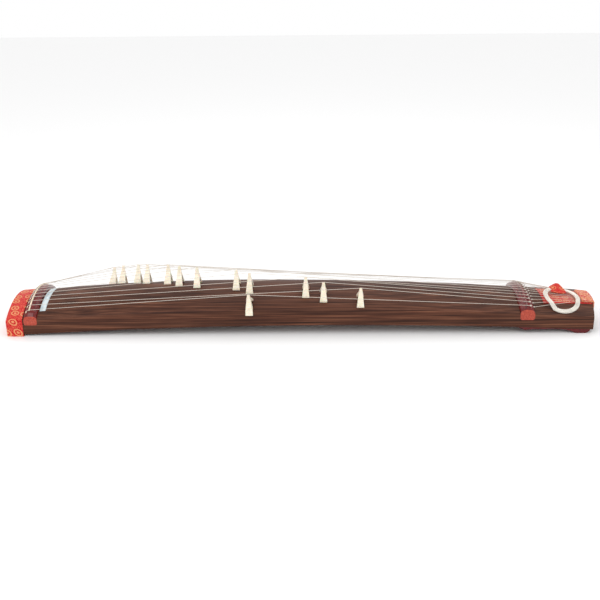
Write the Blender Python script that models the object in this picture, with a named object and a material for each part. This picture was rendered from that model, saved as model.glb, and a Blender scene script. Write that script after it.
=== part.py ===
"""Koto: thirteen-string zither of hollowed paulownia with movable bridges, dressed head and tied tail.

Built in metres, +Z up, long axis on X with the covered head at -X, string 1 on the -Y side.
Driving dimensions are in millimetres and are turned to metres when a mesh is made.
"""
import math

import bmesh
import bpy
import numpy as np

for old in list(bpy.data.objects):
    bpy.data.objects.remove(old, do_unlink=True)

# body
body_head_x = -903.0          # front of the hollowed shell
body_tail_x = 910.0           # tail corners of the shell
tail_bulge = 14.0             # how far the middle of the tail end stands past its corners
half_width_head = 127.0
half_width_tail = 120.0
sole_height_head = 3.0        # underside of the body above the floor at each end
sole_height_tail = 12.5
sori = 23.9                   # lengthwise crown of the underside
side_height = [(-910, 46.0), (-740, 49.0), (-600, 51.8), (-450, 53.0), (-250, 53.1), (0, 50.2),
               (190, 48.8), (373, 47.2), (588, 44.5), (750, 41.8), (910, 39.0)]
arch_rise = [(-910, 34.5), (-740, 37.5), (-600, 39.0), (-450, 39.8), (-250, 40.2), (0, 39.3),
             (190, 36.8), (373, 32.8), (588, 26.5), (750, 23.0), (910, 21.0)]
top_wall = 9.0
side_wall = 11.0
back_thickness = 7.0
edge_round = 3.2
arch_facets = 18
glue_line = 0.1               # joints that are glued up
slide_clearance = 0.3         # between the feet of a bridge and the board
hood_clearance = 0.3          # between the hood and the head

# strings
string_count = 13
string_radius = 0.65
string_contact = 0.12         # between a string and what bears it
string_pitch_head = 18.9
string_pitch_tail = 17.9
string_pitch_end = 6.2        # where the strings turn round the tail end
knot_radius = 2.0
hole_radius = 1.5

# fixed bridges: centre, half length along X, crown height, seat of the strip, hole
ryukaku_x, ryukaku_half = -832.5, 20.5
unkaku_x, unkaku_half = 705.0, 22.5
ridge_height = 17.0
ridge_sunk = 2.5
ridge_hook = 18.0             # how far each end reaches down the side
ridge_proud = 0.5
ryukaku_seat, ryukaku_hole = -3.5, -13.5
unkaku_seat, unkaku_hole = -2.0, 11.0
strip_half = 2.2
strip_height = 2.6

# movable bridges, string 1 to string 13
bridge_x = [-152.3, 190.6, 76.9, 21.9, -154.2, -196.7, -322.8, -381.9, -421.3, -492.5, -526.3,
            -580.6, -616.2]
bridge_height = 57.7
bridge_half_spread = 26.0
bridge_half_base = 11.3       # half length along the string at the feet
bridge_half_top = 3.6
bridge_lap = 15.0             # how far the outermost bridges lap the side

# surplus string coil on the tail
coil_x, coil_y = 825.0, -41.0
coil_semi_x, coil_semi_y = 50.5, 62.7
coil_turn = -0.27
coil_across, coil_layers = 7, 3
coil_pitch = 1.93
coil_points = 22

parts = []


def hermite(table, x):
    """Smooth curve through a table of (x, value), carried on straight past its ends."""
    xs = [a for a, _ in table]
    ys = [b for _, b in table]
    n = len(xs)
    slope = [(ys[1] - ys[0]) / (xs[1] - xs[0])]
    slope += [(ys[i + 1] - ys[i - 1]) / (xs[i + 1] - xs[i - 1]) for i in range(1, n - 1)]
    slope += [(ys[-1] - ys[-2]) / (xs[-1] - xs[-2])]
    if x <= xs[0]:
        return ys[0] + slope[0] * (x - xs[0])
    if x >= xs[-1]:
        return ys[-1] + slope[-1] * (x - xs[-1])
    i = max(j for j in range(n - 1) if xs[j] <= x)
    h = xs[i + 1] - xs[i]
    s = (x - xs[i]) / h
    return ((2 * s**3 - 3 * s * s + 1) * ys[i] + (s**3 - 2 * s * s + s) * h * slope[i]
            + (3 * s * s - 2 * s**3) * ys[i + 1] + (s**3 - s * s) * h * slope[i + 1])


def half_width(x):
    return half_width_head + (half_width_tail - half_width_head) * (x + 910.0) / 1820.0


def under(x):
    """Underside of the body above the floor."""
    rise = sole_height_head + (sole_height_tail - sole_height_head) * (x + 910.0) / 1820.0
    return rise + sori * (1.0 - (x / 910.0) ** 2)


def arch_radius(x):
    w, s = half_width(x), hermite(arch_rise, x)
    return (w * w + s * s) / (2 * s)


def board(x, y):
    """Top of the soundboard."""
    r = arch_radius(x)
    crown = under(x) + hermite(side_height, x) + hermite(arch_rise, x)
    return crown - r + math.sqrt(max(r * r - y * y, 0.0))


def tail_x(x, y):
    """Stations near the tail bow outward to the rounded end."""
    g = min(max((x - 840.0) / (body_tail_x - 840.0), 0.0), 1.0)
    g = g * g * (3 - 2 * g)
    return x + tail_bulge * g * (1.0 - (y / half_width_tail) ** 2)


def bowed(x, profile):
    """Points of a station's outline carried out to the bow of the tail, heights taken where they land."""
    out = []
    for i, (y, z) in enumerate(profile):
        px = tail_x(x, y)
        drop = under(px) - under(x) if i in (0, len(profile) - 1) else board(px, y) - board(x, y)
        out.append((px, y, z + drop))
    return out


def end_x(y):
    return tail_x(body_tail_x, y)


def string_y(n, x):
    """Y of string n (1 to 13) at x over the speaking length."""
    a, b = ryukaku_x + ryukaku_seat, unkaku_x + unkaku_seat
    t = (x - a) / (b - a)
    return (n - 7) * (string_pitch_head + (string_pitch_tail - string_pitch_head) * t)


def material(name, colour, rough, metal=0.0):
    m = bpy.data.materials.new(name)
    m.use_nodes = True
    b = m.node_tree.nodes["Principled BSDF"]
    b.inputs["Base Color"].default_value = (*colour, 1.0)
    b.inputs["Roughness"].default_value = rough
    b.inputs["Metallic"].default_value = metal
    return m


def add(name, verts, faces, colour, rough=0.5, smooth=False):
    """One named object from points in millimetres, normals made to face out."""
    mesh = bpy.data.meshes.new(name)
    mesh.from_pydata([(v[0] * 0.001, v[1] * 0.001, v[2] * 0.001) for v in verts], [], faces)
    bm = bmesh.new()
    bm.from_mesh(mesh)
    bmesh.ops.remove_doubles(bm, verts=bm.verts, dist=1e-7)
    bmesh.ops.recalc_face_normals(bm, faces=bm.faces)
    if bm.calc_volume(signed=True) < 0:
        bmesh.ops.reverse_faces(bm, faces=bm.faces)
    bm.to_mesh(mesh)
    bm.free()
    for poly in mesh.polygons:
        poly.use_smooth = smooth
    ob = bpy.data.objects.new(name, mesh)
    bpy.context.scene.collection.objects.link(ob)
    mesh.materials.append(material(name + "_look", colour, rough))
    return ob


def keep(ob):
    parts.append(ob)
    return ob


def tool(name, verts, faces):
    ob = add(name, verts, faces, (0.5, 0.5, 0.5))
    ob.hide_render = True
    ob.display_type = "WIRE"
    return ob


def combine(target, other, operation):
    """Boolean other into target and remove other."""
    mod = target.modifiers.new("fit", "BOOLEAN")
    mod.operation = operation
    mod.object = other
    mod.solver = "EXACT"
    bpy.context.view_layer.update()
    graph = bpy.context.evaluated_depsgraph_get()
    shaped = bpy.data.meshes.new_from_object(target.evaluated_get(graph))
    keep_look = target.data.materials[0]
    target.modifiers.remove(mod)
    target.data = shaped
    target.data.materials.clear()
    target.data.materials.append(keep_look)
    for poly in target.data.polygons:
        poly.material_index = 0
    bpy.data.objects.remove(other, do_unlink=True)
    return target


def ring_faces(count, rings, closed_ring=True, cap_start=True, cap_end=True, offset=0):
    """Faces of a loft of equal rings; caps are single faces."""
    faces = []
    last = count if closed_ring else count - 1
    for k in range(rings - 1):
        for i in range(last):
            j = (i + 1) % count
            a, b = offset + k * count, offset + (k + 1) * count
            faces.append((a + i, a + j, b + j, b + i))
    if cap_start:
        faces.append(tuple(offset + i for i in reversed(range(count))))
    if cap_end:
        faces.append(tuple(offset + (rings - 1) * count + i for i in range(count)))
    return faces


def loft(name, rings, colour, rough=0.5, smooth=False):
    count = len(rings[0])
    verts = [v for r in rings for v in r]
    return add(name, verts, ring_faces(count, len(rings)), colour, rough, smooth)


def loft_tool(name, rings):
    count = len(rings[0])
    return tool(name, [v for r in rings for v in r], ring_faces(count, len(rings)))


def box_tool(name, x0, x1, y0, y1, z0, z1):
    ring = [(y0, z0), (y1, z0), (y1, z1), (y0, z1)]
    return loft_tool(name, [[(x, y, z) for y, z in ring] for x in (x0, x1)])


def post_tool(name, x, y, z0, z1, radius, sides=6):
    a = [2 * math.pi * (k + 0.5) / sides for k in range(sides)]
    return [[(x + radius * math.cos(t), y + radius * math.sin(t), z) for t in a] for z in (z0, z1)]


def many_posts(name, posts):
    """Several prisms that do not touch, as one cutter."""
    verts, faces = [], []
    for rings in posts:
        count = len(rings[0])
        faces += ring_faces(count, len(rings), offset=len(verts))
        verts += [v for r in rings for v in r]
    return tool(name, verts, faces)


def section(x, grow=0.0, base=None):
    """Outer outline of the body at a station, bottom left to bottom right, as (y, z)."""
    w = half_width(x) + grow
    low = under(x) + back_thickness + glue_line if base is None else base
    corner = under(x) + hermite(side_height, x)
    left = [(-w, low), (-w, corner - edge_round + grow),
            (-w + 0.28 * edge_round, corner - 0.28 * edge_round + grow)]
    inner = half_width(x) - edge_round
    arch = [(y * (1 + grow / half_width(x)), board(x, y) + grow)
            for y in np.linspace(-inner, inner, arch_facets + 1)]
    right = [(-y, z) for y, z in reversed(left)]
    return left + [(float(y), float(z)) for y, z in arch] + right


def cavity(x, shrink=0.0, base=None):
    """Inner outline of the hollow, same number of points as the outer one."""
    w = half_width(x) - side_wall
    low = under(x) + back_thickness + glue_line if base is None else base
    top = board(x, w) - top_wall
    left = [(-w + shrink, low), (-w + shrink, top - 4.0), (-w + shrink, top - shrink)]
    inner = w - 3.0
    arch = [(y, board(x, y) - top_wall - shrink) for y in np.linspace(-inner, inner, arch_facets + 1)]
    right = [(-y, z) for y, z in reversed(left)]
    return left + [(float(y), float(z)) for y, z in arch] + right


# hollowed shell: top and both sides in one piece
paulownia = (0.115, 0.055, 0.032)
stations = [body_head_x, -872, -853, -812, -770, -690, -610, -530, -450, -370, -290, -205, -115, -25, 65,
            155, 245, 335, 425, 515, 600, 682, 728, 785, 840, 868, 892, body_tail_x]
verts, faces = [], []
for x in stations:
    for profile in (section(x), cavity(x)):
        verts += bowed(x, profile)
n_out = len(section(0.0))
n_ring = 2 * n_out
for k in range(len(stations) - 1):
    a, b = k * n_ring, (k + 1) * n_ring
    for i in range(n_out - 1):
        faces.append((a + i, a + i + 1, b + i + 1, b + i))
        faces.append((a + n_out + i + 1, a + n_out + i, b + n_out + i, b + n_out + i + 1))
    faces.append((a, b, b + n_out, a + n_out))
    faces.append((a + n_out - 1, a + n_ring - 1, b + n_ring - 1, b + n_out - 1))
for a in (0, (len(stations) - 1) * n_ring):
    for i in range(n_out - 1):
        faces.append((a + i, a + n_out + i, a + n_out + i + 1, a + i + 1))
shell = keep(add("soundboard_shell", verts, faces, paulownia, 0.55, True))


def ridge_z(x, y, centre, half, crown, profile):
    """Top of a fixed bridge at (x, y)."""
    u = (x - centre) / half
    base = board(centre, y) - ridge_sunk
    tall = crown + ridge_sunk
    for (u0, v0), (u1, v1) in zip(profile[:-1], profile[1:]):
        if u0 <= u <= u1 and u1 > u0:
            return base + tall * (v0 + (v1 - v0) * (u - u0) / (u1 - u0))
    return base


def ridge_profile(half, seat):
    a, b = (seat - 2.7) / half, (seat + 2.7) / half
    return [(-1.0, 0.0), (-1.0, 0.24), (-0.93, 0.52), (-0.78, 0.75), (-0.52, 0.92), (a, 1.0), (b, 1.0),
            (0.52, 0.92), (0.78, 0.75), (0.93, 0.52), (1.0, 0.24), (1.0, 0.0)]


def hook_outline(centre, half, low, high, grow=0.0):
    """Rounded lower end of a fixed bridge where it laps the side, as (x, z)."""
    r = 7.0
    h = half + grow
    pts = [(centre - h, high), (centre - h, low + r)]
    for k in range(1, 4):
        t = math.pi / 2 * k / 4
        pts.append((centre - h + r - r * math.cos(t), low - grow + r - r * math.sin(t)))
    pts += [(centre - h + r, low - grow), (centre + h - r, low - grow)]
    for k in range(3, 0, -1):
        t = math.pi / 2 * k / 4
        pts.append((centre + h - r + r * math.cos(t), low - grow + r - r * math.sin(t)))
    pts += [(centre + h, low + r), (centre + h, high)]
    return pts


def ridge(name, centre, half, seat, hole, end_drop, colour):
    """Fixed bridge let into the board, its ends lapping the sides; returns it and cuts the shell."""
    profile = ridge_profile(half, seat)
    w = half_width(centre)
    end = w + ridge_proud
    full = w - 14.0
    ys = [-end, -end + 1.2, -end + 4.0, -end + 8.5]
    ys += [float(v) for v in np.linspace(-full, full, 15)] + [-y for y in reversed(ys)]
    rings = []
    for y in ys:
        t = min(max((abs(y) - full) / (end - full), 0.0), 1.0)
        crown = end_drop + (ridge_height - end_drop) * math.sqrt(1.0 - t * t)
        base = board(centre, y) - ridge_sunk
        rings.append([(centre + half * u, y, base + (crown + ridge_sunk) * v) for u, v in profile])
    bar = loft(name, rings, colour, 0.25, True)
    low = under(centre) + hermite(side_height, centre) - ridge_hook
    for sign in (-1, 1):
        y0, y1 = sign * (w - side_wall + 2.0), sign * end
        outline = hook_outline(centre, half, low, board(centre, w) + 0.6)
        combine(bar, loft_tool("hook", [[(x, y, z) for x, z in outline] for y in (y0, y1)]), "UNION")
        cut = hook_outline(centre, half, low, board(centre, w) + 30.0, glue_line)
        y0 = sign * (w - side_wall + 2.0 - glue_line)
        combine(shell, loft_tool("hook_seat", [[(x, y, z) for x, z in cut] for y in (y0, sign * (w + 8))]),
                "DIFFERENCE")
    half_cut = half + glue_line
    rings = []
    for y in [-(w + 8)] + ys + [w + 8]:
        yy = max(-end, min(end, y))
        base = board(centre, yy) - ridge_sunk - glue_line
        top = under(centre) + 160.0
        rings.append([(centre - half_cut, y, base), (centre + half_cut, y, base),
                      (centre + half_cut, y, top), (centre - half_cut, y, top)])
    combine(shell, loft_tool("ridge_seat", rings), "DIFFERENCE")
    posts = []
    for n in range(1, string_count + 1):
        x = centre + hole
        posts.append(post_tool("hole", x, string_y(n, x), under(x) + 20.0, under(x) + 150.0, hole_radius))
    combine(bar, many_posts("holes", posts), "DIFFERENCE")
    combine(shell, many_posts("holes", posts), "DIFFERENCE")
    return keep(bar)


rosewood = (0.36, 0.045, 0.022)
cream = (0.86, 0.78, 0.62)
ryukaku = ridge("ryukaku", ryukaku_x, ryukaku_half, ryukaku_seat, ryukaku_hole, 6.0, rosewood)
unkaku = ridge("unkaku", unkaku_x, unkaku_half, unkaku_seat, unkaku_hole, 11.5, rosewood)


def ridge_strip(name, centre, seat):
    """Hard strip the strings bear on, along the crown of a fixed bridge."""
    x = centre + seat
    full = half_width(centre) - 14.0
    rings = []
    for y in np.linspace(-full, full, 15):
        base = board(centre, y) + ridge_height + 0.05
        rings.append([(x - strip_half, y, base), (x + strip_half, y, base),
                      (x + strip_half, y, base + 0.6 * strip_height),
                      (x + 0.6 * strip_half, y, base + strip_height),
                      (x - 0.6 * strip_half, y, base + strip_height),
                      (x - strip_half, y, base + 0.6 * strip_height)])
    return keep(loft(name, rings, cream, 0.35))


ridge_strip("ryukaku_strip", ryukaku_x, ryukaku_seat)
ridge_strip("unkaku_strip", unkaku_x, unkaku_seat)

# back board with its two sound holes
back_y = [float(v) for v in np.linspace(-1.0, 1.0, 9)]
verts, faces = [], []
for x in stations:
    for level in (0.0, back_thickness):
        verts += [(tail_x(x, v * half_width(x)), v * half_width(x),
                   under(tail_x(x, v * half_width(x))) + level) for v in back_y]
m = len(back_y)
for k in range(len(stations) - 1):
    a, b = k * 2 * m, (k + 1) * 2 * m
    for i in range(m - 1):
        faces.append((a + i + 1, a + i, b + i, b + i + 1))
        faces.append((a + m + i, a + m + i + 1, b + m + i + 1, b + m + i))
    faces.append((a, a + m, b + m, b))
    faces.append((a + m - 1, b + m - 1, b + 2 * m - 1, a + 2 * m - 1))
for a in (0, (len(stations) - 1) * 2 * m):
    for i in range(m - 1):
        faces.append((a + i, a + i + 1, a + m + i + 1, a + m + i))
back = keep(add("back_board", verts, faces, paulownia, 0.6))


def rounded_hole(name, x0, x1, half, z0, z1, r):
    outline = []
    for cx, cy, start in ((x1 - r, half - r, 0), (x0 + r, half - r, 1), (x0 + r, -half + r, 2),
                          (x1 - r, -half + r, 3)):
        for k in range(5):
            t = math.pi / 2 * (start + k / 4)
            outline.append((cx + r * math.cos(t), cy + r * math.sin(t)))
    return loft_tool(name, [[(x, y, z) for x, y in outline] for z in (z0, z1)])


head_hole = (-805.0, -690.0, 52.0)
tail_hole = (776.0, 860.0, 58.0)
for x0, x1, half in (head_hole, tail_hole):
    combine(back, rounded_hole("sound_hole", x0, x1, half, -20.0, 60.0, 22.0), "DIFFERENCE")


def filler(name, x0, x1, colour, opening=None, bow=False):
    """Block or brace that fills the hollow between two stations."""
    rings = []
    for x in (x0, x1):
        base = under(x) + back_thickness + glue_line + (0.45 if bow else 0.0)
        outline = cavity(x, 2.5 * glue_line, base)
        mate = cavity(x0 if x == x1 else x1, 2.5 * glue_line, base)
        outline = [(y, min(z, z2)) if z > base + 1e-6 else (y, z) for (y, z), (_, z2) in zip(outline, mate)]
        ring = [(y, z) for y, z in outline]
        if opening:
            half, tall = opening
            ring += [(half, base), (half - 8.0, base + 0.7 * tall), (half - 20.0, base + tall),
                     (-half + 20.0, base + tall), (-half + 8.0, base + 0.7 * tall), (-half, base)]
        rings.append(bowed(x, ring) if bow else [(x, y, z) for y, z in ring])
    return keep(loft(name, rings, colour, 0.6))


filler("head_block", body_head_x, -878.0, (0.30, 0.05, 0.03))
filler("tail_block", 868.0, 892.0, (0.30, 0.16, 0.09), bow=True)
filler("brace_head", -487.0, -473.0, (0.42, 0.27, 0.16), (62.0, 24.0))
filler("brace_middle", -7.0, 7.0, (0.42, 0.27, 0.16), (62.0, 24.0))
filler("brace_tail", 413.0, 427.0, (0.42, 0.27, 0.16), (62.0, 24.0))

# mouth plate over the head end, with the tongue inside its opening
plate_t = 3.0
x = body_head_x
outline = section(x, 0.0, under(x))
mid = under(x) + 36.0


def lens(grow):
    pts = []
    for k in range(20):
        t = 2 * math.pi * k / 20
        pts.append(((64.0 + grow) * math.cos(t), mid + (11.0 + grow) * math.sin(t) + 5.0 * math.cos(t) ** 2))
    return pts


mouth = loft("mouth_plate", [[(xx, y, z) for y, z in outline] for xx in (x - glue_line - plate_t, x - glue_line)],
             rosewood, 0.3)
combine(mouth, loft_tool("mouth_cut", [[(xx, y, z) for y, z in lens(0.0)] for xx in (x - 20, x + 20)]),
        "DIFFERENCE")
keep(mouth)
keep(loft("mouth_tongue", [[(xx, y, z) for y, z in lens(-2.0)] for xx in (x - glue_line - 2.2, x - glue_line)],
          cream, 0.4))

# hood over the head: stiffened brocade pocket that draws off toward -X
hood_wall = 2.4
hood_mouth = -857.0
hood_inner = body_head_x - glue_line - plate_t - hood_clearance
hood_outer = hood_inner - hood_wall
wide = half_width(body_head_x) + hood_clearance
sole = hood_wall + 0.0


def hood_outline(x, grow, low):
    """Pocket outline; sides are parallel so that it draws straight off."""
    corner = under(x) + hermite(side_height, x) + grow + hood_clearance
    w = wide + grow
    left = [(-w, low), (-w, corner - edge_round), (-w + 0.28 * edge_round, corner - 0.28 * edge_round)]
    inner = half_width(x) - edge_round
    arch = []
    for y in np.linspace(-inner, inner, arch_facets + 1):
        arch.append((float(y * w / half_width(x)), float(board(x, y) + hood_clearance + grow)))
    return left + arch + [(-y, z) for y, z in reversed(left)]


rings = []
for x in (hood_mouth, -880.0, hood_outer + 3.0):
    rings.append([(x, y, z) for y, z in hood_outline(x, hood_wall, 0.0)])
for dx, shrink in ((1.0, 0.8), (0.0, 2.4)):
    pts = hood_outline(hood_outer + 3.0, hood_wall - shrink, 0.0)
    rings.append([(hood_outer + dx, y, max(z, 0.0)) for y, z in pts])
count = len(rings[0])
verts = [v for r in rings for v in r]
faces = ring_faces(count, len(rings), cap_start=False)
start = len(verts)
inner_rings = []
for x in (hood_mouth, -880.0, hood_inner):
    inner_rings.append([(x, y, z) for y, z in hood_outline(x, 0.0, sole)])
verts += [v for r in inner_rings for v in r]
faces += ring_faces(count, len(inner_rings), cap_start=False, offset=start)
for i in range(count):
    j = (i + 1) % count
    faces.append((i, j, start + j, start + i))
keep(add("head_hood", verts, faces, (0.62, 0.02, 0.03), 0.7))


def sheet(name, xs, y_of, rows, low, high, colour, rough, end=None, crown=0.0):
    """Thin piece laid on the board between two heights above it."""
    verts, faces = [], []
    vs = [float(v) for v in np.linspace(-1.0, 1.0, rows)]
    for level in (low, high):
        for x in xs:
            for v in vs:
                y = y_of(x) * v
                px = tail_x(x, y) + (end if end and x == xs[-1] else 0.0)
                lift = level
                if crown and level == high:
                    edge = min((x - xs[0]) / 5.0, (1.0 - abs(v)) * y_of(x) / 5.0, 1.0)
                    lift = high - crown * (1.0 - min(edge, 1.0))
                verts.append((px, y, board(px, y) + lift))
    nx, ny = len(xs), rows
    for i in range(nx - 1):
        for j in range(ny - 1):
            a = i * ny + j
            faces.append((a, a + 1, a + ny + 1, a + ny))
            b = nx * ny + a
            faces.append((b, b + ny, b + ny + 1, b + 1))
    border = [(i, 0) for i in range(nx)] + [(nx - 1, j) for j in range(1, ny)]
    border += [(i, ny - 1) for i in range(nx - 2, -1, -1)] + [(0, j) for j in range(ny - 2, 0, -1)]
    for (i0, j0), (i1, j1) in zip(border, border[1:] + border[:1]):
        a, b = i0 * ny + j0, i1 * ny + j1
        faces.append((a, b, nx * ny + b, nx * ny + a))
    return keep(add(name, verts, faces, colour, rough))


cloth_low, cloth_high = 0.15, 1.35


def cloth_half(x):
    return 63.0 - 14.0 * min(max((x - 765.0) / 140.0, 0.0), 1.0)


sheet("number_tape", [-808.0, -789.5], lambda x: 98.0, 17, 0.15, 0.6, (0.82, 0.86, 0.88), 0.25)
sheet("tail_brocade", [765.0, 790.0, 820.0, 850.0, 880.0, 897.0, body_tail_x], cloth_half, 11,
      cloth_low, cloth_high, (0.62, 0.03, 0.03), 0.7)

# padded end cover of the tail, over the strings, hanging down the end
cover_from, cover_half, cover_low, cover_high, cover_drop = 888.0, 45.0, 3.4, 8.8, 24.0
cover_wall = 3.6
rings = []
for v in [float(a) for a in np.linspace(-1.0, 1.0, 13)]:
    y = v * cover_half
    e = end_x(y)
    gap = 3.3
    x0, x1 = cover_from, e + gap
    inner = [(x0, cover_low), (0.5 * (x0 + e), cover_low), (e + 1.2, cover_low)]
    z_in = [board(px, y) + h for px, h in inner]
    z_end = board(e, y) - cover_drop
    ring = [(px, y, z) for (px, _), z in zip(inner, z_in)]
    ring += [(x1, y, z_in[-1] - 1.8), (x1, y, z_end), (x1 + 0.5 * cover_wall, y, z_end - 1.2),
             (x1 + cover_wall, y, z_end), (x1 + cover_wall, y, board(e, y) + 3.0),
             (x1 + 0.35 * cover_wall, y, board(e, y) + 0.8 * cover_high), (e - 3.0, y, board(e, y) + cover_high),
             (0.5 * (x0 + e), y, board(0.5 * (x0 + e), y) + cover_high),
             (x0 + 3.0, y, board(x0, y) + cover_high), (x0, y, board(x0, y) + cover_high - 2.5)]
    rings.append(ring)
keep(loft("tail_cover", rings, (0.66, 0.03, 0.04), 0.7))

# tail feet: low ogee brackets under both edges
foot_line = [(680, 1.2), (690, 5.5), (699.6, 9.4), (709, 8.0), (720, 5.8), (746, 5.2), (770, 3.4), (792, 2.4),
             (810, 2.6), (826, 4.0), (845, 8.6)]
foot_flat = (861.0, 884.0)
foot_wide, foot_inset = 15.0, 0.6
for tag, sign in (("near", -1), ("far", 1)):
    lower = [(float(px), under(px) - d) for px, d in foot_line]
    lower += [(854.0, 1.6), (foot_flat[0], 0.0), (foot_flat[1], 0.0), (891.0, 1.6), (897.5, 6.0), (901.0, 10.2)]
    upper_x = [901.0, 868.0, 840.0, 785.0, 728.0, 682.0]
    rings = []
    for side in (foot_inset, foot_wide):
        ring = [(px, sign * (half_width(px) - side), pz) for px, pz in lower]
        ring += [(px, sign * (half_width(px) - side), under(px) - 0.05) for px in upper_x]
        rings.append(ring)
    keep(loft("tail_foot_" + tag, rings, (0.34, 0.02, 0.02), 0.35))


def bridge(n):
    """Movable bridge for string n, square to the arch under it."""
    x = bridge_x[n - 1]
    y0 = string_y(n, x)
    r = arch_radius(x)
    crown_z = board(x, 0.0) - r

    def arc(y):
        return math.sqrt(r * r - y * y) - r

    half = [(0.0, 27.0), (5.2, 25.0), (10.2, 19.0), (15.0, 10.0), (19.6, arc(19.6)),
            (bridge_half_spread, arc(bridge_half_spread)), (25.3, 4.0), (20.6, 14.5), (13.4, 26.0),
            (7.4, 35.0), (4.7, 43.0), (3.6, 51.0), (3.0, bridge_height - 1.6), (2.2, bridge_height - 0.1),
            (0.8, bridge_height)]
    angle = math.asin(y0 / r)
    other = [(-y, z) for y, z in reversed(half[1:])]
    if abs(n - 7) == 6:
        # the outermost bridges stand with one foot lapped over the edge of the board
        w = half_width(x)
        edge = under(x) + hermite(side_height, x)
        c = slide_clearance + 0.1
        lap = [(w + 6.8, edge - 1.0), (w + 5.8, edge - bridge_lap), (w + c, edge - bridge_lap),
               (w + c, edge - 2.4), (w - 0.5 + c, edge - 0.6 + c), (w - 3.4, board(x, w - 3.4) + c),
               (w - 9.0, board(x, w - 9.0) + c)]
        a = abs(angle)
        local = [(yy * math.cos(a) - (zz - crown_z) * math.sin(a),
                  yy * math.sin(a) + (zz - crown_z) * math.cos(a) - r - slide_clearance) for yy, zz in lap]
        other = [(-y, z) for y, z in reversed(half[7:])] + [(-y, z) for y, z in local]
    outline = half + [(0.0, bridge_height - 0.8)] + other
    if n == 13:
        outline = [(-y, z) for y, z in outline]
    dx = 1.0
    slope_x = (board(x + dx, y0) - board(x - dx, y0)) / (2 * dx)
    rings = []
    for sign in (-1, 1):
        ring = []
        for y, z in outline:
            f = bridge_half_base + (bridge_half_top - bridge_half_base) * max(z, 0.0) / bridge_height
            rr = r + z + slide_clearance
            px = sign * f
            py = y * math.cos(angle) + rr * math.sin(angle)
            pz = -y * math.sin(angle) + rr * math.cos(angle) + crown_z
            ring.append((x + px, py, pz + slope_x * px))
        rings.append(ring)
    return keep(loft("ji_%02d" % n, rings, (0.88, 0.80, 0.64), 0.35))


def bridge_top(n, lift):
    """Centre of the string notch of bridge n, raised by lift along the bridge."""
    x = bridge_x[n - 1]
    y0 = string_y(n, x)
    r = arch_radius(x)
    angle = math.asin(y0 / r)
    rr = r + bridge_height + lift + slide_clearance
    return x, rr * math.sin(angle), rr * math.cos(angle) + board(x, 0.0) - r


for n in range(1, string_count + 1):
    bridge(n)


def frames(points):
    """Parallel-carried cross directions along a polyline."""
    pts = [np.array(q, float) for q in points]
    tangents = []
    for i in range(len(pts)):
        a = pts[i] - pts[i - 1] if i > 0 else pts[1] - pts[0]
        b = pts[i + 1] - pts[i] if i < len(pts) - 1 else pts[-1] - pts[-2]
        t = a / np.linalg.norm(a) + b / np.linalg.norm(b)
        tangents.append(t / np.linalg.norm(t))
    up = np.array([0.0, 1.0, 0.0])
    if abs(np.dot(up, tangents[0])) > 0.9:
        up = np.array([1.0, 0.0, 0.0])
    n = up - tangents[0] * np.dot(up, tangents[0])
    n /= np.linalg.norm(n)
    out = []
    for i, t in enumerate(tangents):
        n = n - t * np.dot(n, t)
        n /= np.linalg.norm(n)
        b = np.cross(t, n)
        stretch = 1.0
        if 0 < i < len(pts) - 1:
            a = pts[i] - pts[i - 1]
            stretch = 1.0 / max(np.dot(t, a / np.linalg.norm(a)), 0.6)
        out.append((pts[i], n, b, stretch))
    return out


def tube(name, points, radius, colour, rough, sides=5):
    """Round cord through the points; radius may be a list."""
    rings = []
    for i, (c, n, b, stretch) in enumerate(frames(points)):
        r = radius[i] if isinstance(radius, list) else radius
        ring = []
        for k in range(sides):
            a = 2 * math.pi * k / sides
            ring.append(tuple(c + r * (math.cos(a) * n + math.sin(a) * b)))
        rings.append(ring)
    return keep(loft(name, rings, colour, rough, True))


def soften(points, reach=2.0, steps=2):
    """Replace each sharp corner by a short curve."""
    pts = [np.array(q, float) for q in points]
    out = [pts[0]]
    for i in range(1, len(pts) - 1):
        a, c, b = pts[i - 1], pts[i], pts[i + 1]
        u, v = a - c, b - c
        lu, lv = np.linalg.norm(u), np.linalg.norm(v)
        turn = math.degrees(math.acos(max(-1.0, min(1.0, -np.dot(u, v) / (lu * lv)))))
        if turn < 14.0:
            out.append(c)
            continue
        d = min(reach, 0.4 * lu, 0.4 * lv)
        p0, p1 = c + u / lu * d, c + v / lv * d
        for k in range(steps + 1):
            t = k / steps
            out.append((1 - t) ** 2 * p0 + 2 * t * (1 - t) * c + t * t * p1)
    out.append(pts[-1])
    return out


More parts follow.
